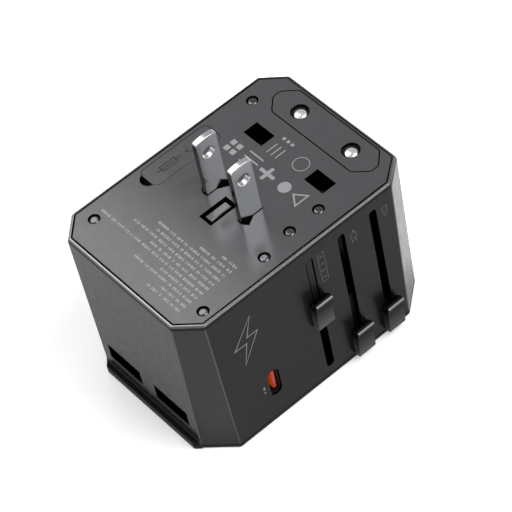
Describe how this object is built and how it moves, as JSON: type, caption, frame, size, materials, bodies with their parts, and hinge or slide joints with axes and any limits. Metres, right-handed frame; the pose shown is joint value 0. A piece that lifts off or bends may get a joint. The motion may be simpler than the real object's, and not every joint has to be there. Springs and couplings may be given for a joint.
{
  "type": "universal travel adapter",
  "caption": "Universal travel adapter with US, UK and EU plug pins on three thumb sliders, twisting blades, a rising EU platform, a socket face, a fuse door and USB ports.",
  "frame": {"origin": "bottom centre of the whole adapter's box at rest, on the socket face", "axes": "+Z is the way the plug pins point, -X is the end with the two USB-A ports, -Y is the face with the three slider knobs"},
  "size_m": [0.0712, 0.0532, 0.0663],
  "materials": {
    "housing_plastic": "satin charcoal polycarbonate",
    "plate_plastic": "fine matte grey polycarbonate",
    "cover_plastic": "satin black polycarbonate",
    "knob_plastic": "satin black",
    "inner_plastic": "black nylon",
    "earth_pin_nickel": "nickel plated, satin",
    "sleeve_plastic": "satin black",
    "stud_steel": "dark nickel",
    "screw_steel": "zinc plated",
    "blade_nickel": "nickel-plated brass, brushed",
    "pin_brass": "polished",
    "pin_nickel": "nickel plated",
    "contact_brass": "stamped",
    "spring_steel": "spring steel",
    "usb_steel": "blackened stamped steel",
    "tongue_orange": "orange",
    "shutter_plastic": "dark acetal",
    "fuse_ceramic": "ceramic white, gloss",
    "fuse_metal": "nickel",
    "board_green": "solder mask",
    "tape_yellow": "polyester tape",
    "ferrite": "ferrite",
    "capacitor_sleeve": "shrink sleeve",
    "copper": "enamelled copper"
  },
  "bodies": {
    "housing": {"housing_shell": "housing_plastic", "face_plate": "plate_plastic", "socket_cover": "cover_plastic", "face_studs": "stud_steel", "case_screws": "screw_steel", "chassis": "inner_plastic", "contact_line": "contact_brass", "contact_neutral": "contact_brass", "contact_earth": "contact_brass", "shutter_springs": "spring_steel", "fuse_holder": "inner_plastic", "fuse_clips": "contact_brass", "fuse_tubes": "fuse_ceramic", "fuse_caps": "fuse_metal", "pcb": "board_green", "transformer": "tape_yellow", "transformer_core": "ferrite", "capacitors": "capacitor_sleeve", "inductor": "copper", "usb_a_shells": "usb_steel", "usb_a_tongues": "tongue_orange", "usb_c_shell": "usb_steel", "usb_c_tongue": "tongue_orange"},
    "fuse_door": {"fuse_door": "plate_plastic"},
    "shutter": {"socket_shutter": "shutter_plastic"},
    "us_slider": {"us_knob": "knob_plastic", "us_strip": "cover_plastic", "us_carrier": "inner_plastic"},
    "us_line_blade": {"us_blade_line": "blade_nickel"},
    "us_neutral_blade": {"us_blade_neutral": "blade_nickel"},
    "uk_slider": {"uk_knob": "knob_plastic", "uk_strip": "cover_plastic", "uk_carrier": "inner_plastic", "uk_live_pins": "pin_brass", "uk_pin_sleeves": "sleeve_plastic", "uk_earth_pin": "earth_pin_nickel"},
    "eu_slider": {"eu_knob": "knob_plastic", "eu_carrier": "inner_plastic", "eu_pins": "pin_nickel", "eu_pin_sleeves": "sleeve_plastic"},
    "eu_platform": {"eu_platform": "plate_plastic"}
  },
  "joints": [
    {"name": "us_slide", "type": "slide", "parent": "housing", "child": "us_slider", "axis": [0, 0, 1], "range_m": [-0.0185, 0]},
    {"name": "us_line_twist", "type": "hinge", "parent": "us_slider", "child": "us_line_blade", "pos_m": [0.0002, 0.00707, 0.04], "axis": [0, 0, 1], "range_deg": [-30, 0]},
    {"name": "us_neutral_twist", "type": "hinge", "parent": "us_slider", "child": "us_neutral_blade", "pos_m": [0.0002, -0.00562, 0.04], "axis": [0, 0, 1], "range_deg": [0, 30]},
    {"name": "uk_slide", "type": "slide", "parent": "housing", "child": "uk_slider", "axis": [0, 0, 1], "range_m": [0, 0.0232]},
    {"name": "eu_slide", "type": "slide", "parent": "housing", "child": "eu_slider", "axis": [0, 0, 1], "range_m": [0, 0.0315]},
    {"name": "eu_platform_rise", "type": "slide", "parent": "housing", "child": "eu_platform", "axis": [0, 0, 1], "range_m": [0, 0.012]},
    {"name": "fuse_door_lift", "type": "slide", "parent": "housing", "child": "fuse_door", "axis": [0, 0, 1], "range_m": [0, 0.012]},
    {"name": "shutter_slide", "type": "slide", "parent": "housing", "child": "shutter", "axis": [1, 0, 0], "range_m": [0, 0.0052], "stiffness_N_per_m": 60, "springref_m": -0.002, "deforming": ["shutter_springs"]}
  ],
  "couplings": [
    {"joint": "eu_platform_rise", "follows": "eu_slide", "ratio": 0.38095}
  ]
}
